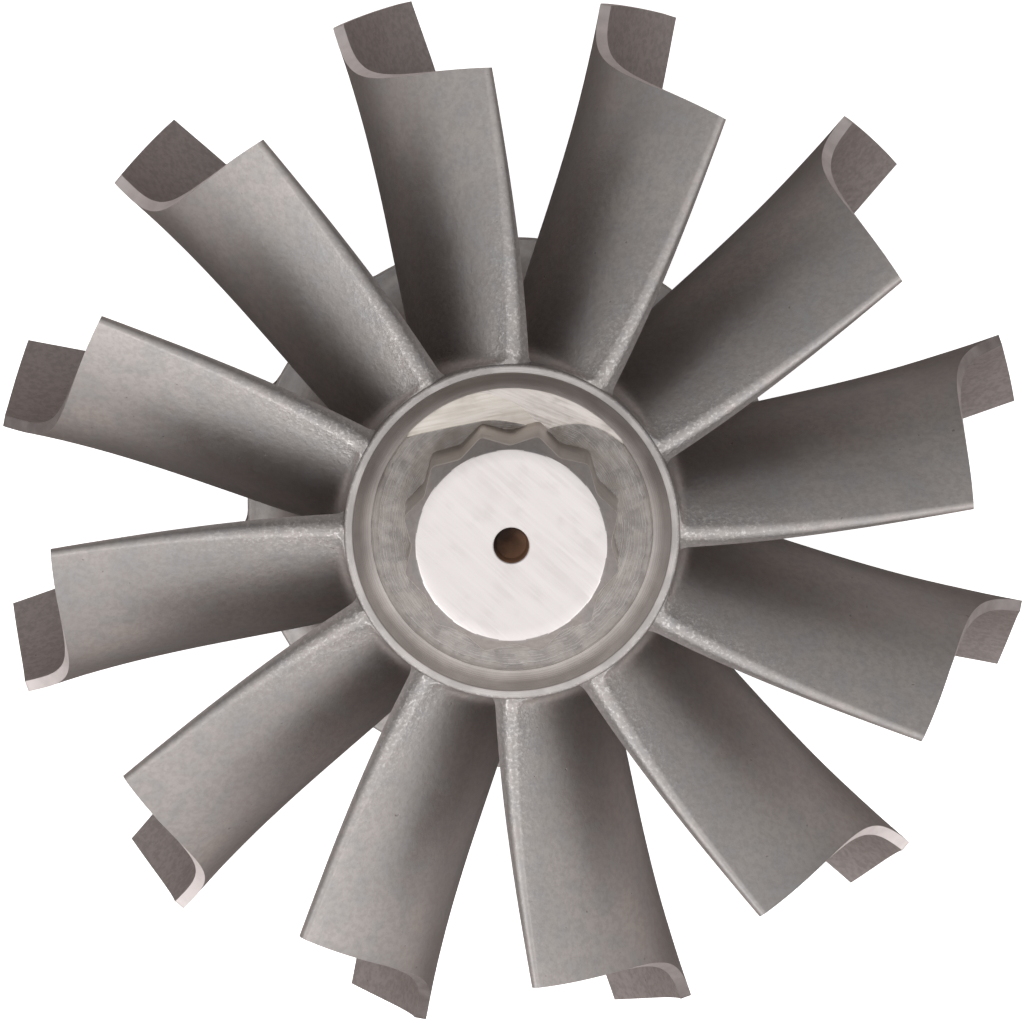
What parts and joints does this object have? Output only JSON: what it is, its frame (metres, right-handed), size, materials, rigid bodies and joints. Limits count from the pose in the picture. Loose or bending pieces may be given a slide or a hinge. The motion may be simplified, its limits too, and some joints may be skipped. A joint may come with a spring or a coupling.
{
  "type": "turbocharger turbine wheel",
  "caption": "Radial turbine wheel of a turbocharger: curved blades on a flared hub with a round back disc, a multi-point drive nose with a centre hole, and a boss for the shaft weld.",
  "frame": {"origin": "centre of the shaft boss's flat face, which is the lowest plane and the one the wheel rests on", "axes": "+Z along the wheel's axis towards the nose, where the gas leaves; the trailing edge of blade 01 lies within 5 degrees of +Y"},
  "size_m": [0.1202, 0.1202, 0.0716],
  "materials": {
    "cast_alloy": "satin grey investment-cast nickel alloy with a fine grain, brighter along the edges",
    "machined_alloy": "machined bright nickel alloy with fine tool marks"
  },
  "bodies": {
    "root": {"hub": "cast_alloy", "shaft_boss": "machined_alloy", "nose_boss": "machined_alloy", "blade_01": "cast_alloy", "blade_02": "cast_alloy", "blade_03": "cast_alloy", "blade_04": "cast_alloy", "blade_05": "cast_alloy", "blade_06": "cast_alloy", "blade_07": "cast_alloy", "blade_08": "cast_alloy", "blade_09": "cast_alloy", "blade_10": "cast_alloy", "blade_11": "cast_alloy", "blade_12": "cast_alloy"}
  },
  "joints": []
}
